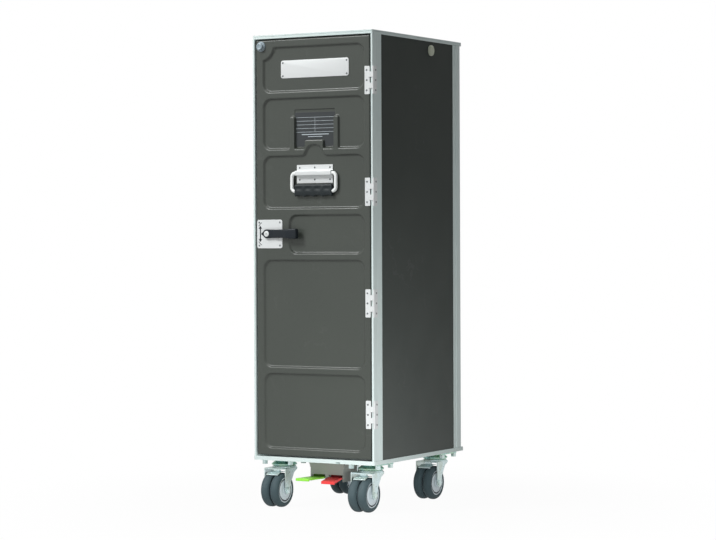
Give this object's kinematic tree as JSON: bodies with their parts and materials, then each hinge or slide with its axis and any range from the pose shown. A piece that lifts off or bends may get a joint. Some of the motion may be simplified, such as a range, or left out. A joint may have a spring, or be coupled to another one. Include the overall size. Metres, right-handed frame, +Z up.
{
  "type": "airline galley cart",
  "caption": "Narrow upright service cart with a hinged ribbed door, turning latch, folding handle, tray runners inside, brake pedals and twin-wheel swivel castors.",
  "frame": {"origin": "on the floor, at the middle of the cart's overall footprint", "axes": "+Z up, -Y the way the door faces, +X towards the door's hinges"},
  "size_m": [0.3077, 0.4206, 1.03],
  "materials": {
    "anodised_frame": "satin anodised aluminium",
    "dark_panel": "satin dark grey laminate",
    "worktop_aluminium": "brushed aluminium sheet",
    "door_grey": "satin dark grey formed skin",
    "door_inner": "smooth light grey liner",
    "seal_rubber": "soft black rubber",
    "plate_steel": "fine brushed stainless steel",
    "holder_plastic": "satin dark grey plastic",
    "card_dark": "blank dark card",
    "stud_grey": "blue-grey plastic",
    "disc_beige": "beige-grey plastic",
    "lever_black": "satin black moulding",
    "bail_white": "smooth white coating",
    "grip_rubber": "matt black rubber",
    "housing_grey": "satin grey paint",
    "pedal_green": "glossy bright green coating",
    "pedal_red": "glossy bright red coating",
    "zinc_steel": "blue passivated zinc plate",
    "rim_grey": "light grey moulded plastic",
    "tyre_grey": "matt grey soft rubber"
  },
  "bodies": {
    "cart": {"corner_posts_front": "anodised_frame", "corner_posts_rear": "anodised_frame", "top_rail": "anodised_frame", "base_rail": "anodised_frame", "side_panel_right": "dark_panel", "side_panel_left": "dark_panel", "rear_panel": "dark_panel", "top_panel": "worktop_aluminium", "floor_plate": "worktop_aluminium", "inner_walls": "worktop_aluminium", "tray_runners": "worktop_aluminium", "latch_strike": "plate_steel", "hold_open_disc": "disc_beige", "hinge_post_leaves": "plate_steel", "frame_fasteners": "plate_steel", "brake_housing": "housing_grey", "brake_shaft": "zinc_steel", "castor_heads": "zinc_steel"},
    "door": {"door_skin": "door_grey", "door_liner": "door_inner", "door_seal": "seal_rubber", "door_stud": "stud_grey", "name_plate": "plate_steel", "card_holder": "holder_plastic", "card": "card_dark", "handle_plate": "plate_steel", "latch_plate": "plate_steel", "hinge_door_leaves": "plate_steel", "door_fasteners": "plate_steel"},
    "latch": {"latch_lever": "lever_black", "latch_spindle": "plate_steel", "latch_cam": "plate_steel"},
    "handle": {"handle_bail": "bail_white", "handle_grip": "grip_rubber"},
    "pedal_green": {"brake_pedal_green": "pedal_green"},
    "pedal_red": {"brake_pedal_red": "pedal_red"},
    "swivel_front_left": {"castor_fork_front_left": "zinc_steel", "castor_axle_front_left": "zinc_steel"},
    "wheel_front_left_left": {"wheel_rim_front_left_left": "rim_grey", "wheel_tyre_front_left_left": "tyre_grey"},
    "wheel_front_left_right": {"wheel_rim_front_left_right": "rim_grey", "wheel_tyre_front_left_right": "tyre_grey"},
    "swivel_front_right": {"castor_fork_front_right": "zinc_steel", "castor_axle_front_right": "zinc_steel"},
    "wheel_front_right_left": {"wheel_rim_front_right_left": "rim_grey", "wheel_tyre_front_right_left": "tyre_grey"},
    "wheel_front_right_right": {"wheel_rim_front_right_right": "rim_grey", "wheel_tyre_front_right_right": "tyre_grey"},
    "swivel_rear_left": {"castor_fork_rear_left": "zinc_steel", "castor_axle_rear_left": "zinc_steel"},
    "wheel_rear_left_left": {"wheel_rim_rear_left_left": "rim_grey", "wheel_tyre_rear_left_left": "tyre_grey"},
    "wheel_rear_left_right": {"wheel_rim_rear_left_right": "rim_grey", "wheel_tyre_rear_left_right": "tyre_grey"},
    "swivel_rear_right": {"castor_fork_rear_right": "zinc_steel", "castor_axle_rear_right": "zinc_steel"},
    "wheel_rear_right_left": {"wheel_rim_rear_right_left": "rim_grey", "wheel_tyre_rear_right_left": "tyre_grey"},
    "wheel_rear_right_right": {"wheel_rim_rear_right_right": "rim_grey", "wheel_tyre_rear_right_right": "tyre_grey"}
  },
  "joints": [
    {"name": "door_hinge", "type": "hinge", "parent": "cart", "child": "door", "pos_m": [0.153, -0.19755, 0.567], "axis": [0, 0, 1], "range_deg": [0, 265]},
    {"name": "latch_turn", "type": "hinge", "parent": "door", "child": "latch", "pos_m": [-0.1129, -0.19625, 0.5977], "axis": [0, 1, 0], "range_deg": [0, 90]},
    {"name": "handle_fold", "type": "hinge", "parent": "door", "child": "handle", "pos_m": [0.0036, -0.19565, 0.7282], "axis": [1, 0, 0], "range_deg": [-95, 0]},
    {"name": "green_pedal_rock", "type": "hinge", "parent": "cart", "child": "pedal_green", "pos_m": [-0.022, -0.11825, 0.082], "axis": [1, 0, 0], "range_deg": [0, 7]},
    {"name": "red_pedal_rock", "type": "hinge", "parent": "cart", "child": "pedal_red", "pos_m": [0.022, -0.11825, 0.082], "axis": [-1, 0, 0], "range_deg": [0, 7]},
    {"name": "swivel_front_left", "type": "hinge", "parent": "cart", "child": "swivel_front_left", "pos_m": [-0.11, -0.13875, 0.088], "axis": [0, 0, 1], "continuous": true},
    {"name": "wheel_front_left_left_roll", "type": "hinge", "parent": "swivel_front_left", "child": "wheel_front_left_left", "pos_m": [-0.122, -0.16875, 0.0375], "axis": [1, 0, 0], "continuous": true},
    {"name": "wheel_front_left_right_roll", "type": "hinge", "parent": "swivel_front_left", "child": "wheel_front_left_right", "pos_m": [-0.098, -0.16875, 0.0375], "axis": [1, 0, 0], "continuous": true},
    {"name": "swivel_front_right", "type": "hinge", "parent": "cart", "child": "swivel_front_right", "pos_m": [0.11, -0.13875, 0.088], "axis": [0, 0, 1], "continuous": true},
    {"name": "wheel_front_right_left_roll", "type": "hinge", "parent": "swivel_front_right", "child": "wheel_front_right_left", "pos_m": [0.098, -0.16875, 0.0375], "axis": [1, 0, 0], "continuous": true},
    {"name": "wheel_front_right_right_roll", "type": "hinge", "parent": "swivel_front_right", "child": "wheel_front_right_right", "pos_m": [0.122, -0.16875, 0.0375], "axis": [1, 0, 0], "continuous": true},
    {"name": "swivel_rear_left", "type": "hinge", "parent": "cart", "child": "swivel_rear_left", "pos_m": [-0.11, 0.15125, 0.088], "axis": [0, 0, 1], "continuous": true},
    {"name": "wheel_rear_left_left_roll", "type": "hinge", "parent": "swivel_rear_left", "child": "wheel_rear_left_left", "pos_m": [-0.122, 0.12125, 0.0375], "axis": [1, 0, 0], "continuous": true},
    {"name": "wheel_rear_left_right_roll", "type": "hinge", "parent": "swivel_rear_left", "child": "wheel_rear_left_right", "pos_m": [-0.098, 0.12125, 0.0375], "axis": [1, 0, 0], "continuous": true},
    {"name": "swivel_rear_right", "type": "hinge", "parent": "cart", "child": "swivel_rear_right", "pos_m": [0.11, 0.15125, 0.088], "axis": [0, 0, 1], "continuous": true},
    {"name": "wheel_rear_right_left_roll", "type": "hinge", "parent": "swivel_rear_right", "child": "wheel_rear_right_left", "pos_m": [0.098, 0.12125, 0.0375], "axis": [1, 0, 0], "continuous": true},
    {"name": "wheel_rear_right_right_roll", "type": "hinge", "parent": "swivel_rear_right", "child": "wheel_rear_right_right", "pos_m": [0.122, 0.12125, 0.0375], "axis": [1, 0, 0], "continuous": true}
  ],
  "couplings": [
    {"joint": "red_pedal_rock", "follows": "green_pedal_rock", "ratio": 1}
  ]
}
